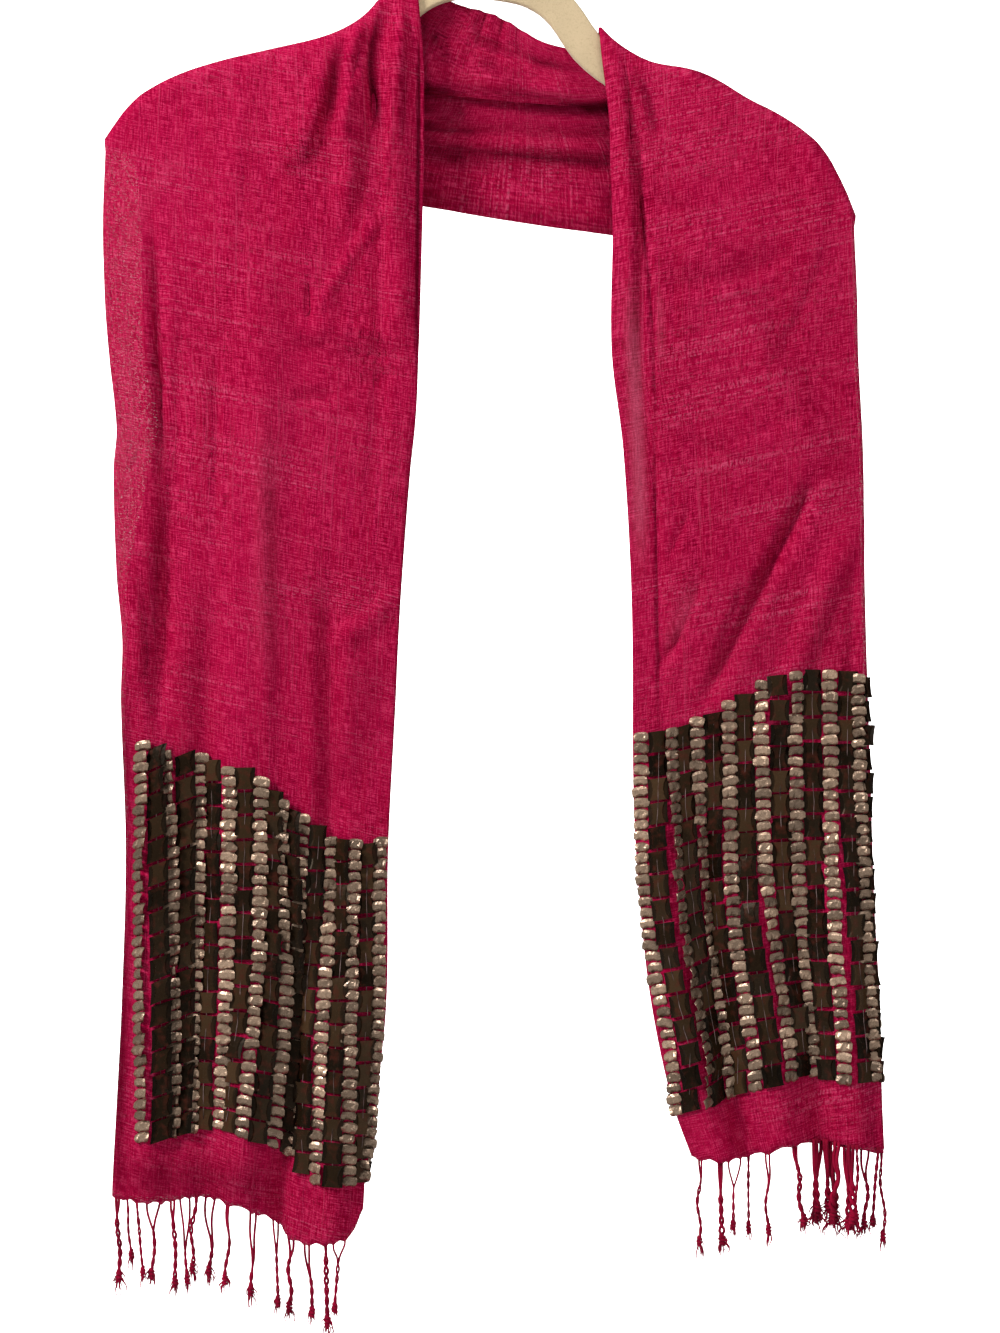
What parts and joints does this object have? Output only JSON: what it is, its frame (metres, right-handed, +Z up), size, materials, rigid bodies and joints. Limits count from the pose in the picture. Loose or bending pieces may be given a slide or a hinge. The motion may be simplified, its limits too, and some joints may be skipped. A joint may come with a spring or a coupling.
{
  "type": "skinny scarf on a clothes hanger",
  "caption": "Long narrow fringed scarf, folded lengthwise and draped round a flat clothes hanger, with a sequinned band above each fringed end.",
  "frame": {"origin": "inside top of the hanger's hook, where it rests on a rail", "axes": "+Z up, -Y the front, towards the viewer; +X towards the scarf's shorter end, along the rail's cross direction"},
  "size_m": [0.4704, 0.0464, 0.901],
  "materials": {
    "cloth": "loose slub weave, dry and matt, crimson pink",
    "thread": "twisted warp threads, knotted, crimson pink",
    "sequin": "glossy, brown and champagne",
    "flock": "short beige flock, matt",
    "wire": "polished"
  },
  "bodies": {
    "root": {"left_end": "cloth", "right_end": "cloth", "neck_stretch": "cloth", "left_sequins": "sequin", "right_sequins": "sequin", "left_fringe": "thread", "right_fringe": "thread", "hanger_body": "flock", "hanger_hook": "wire"}
  },
  "joints": []
}
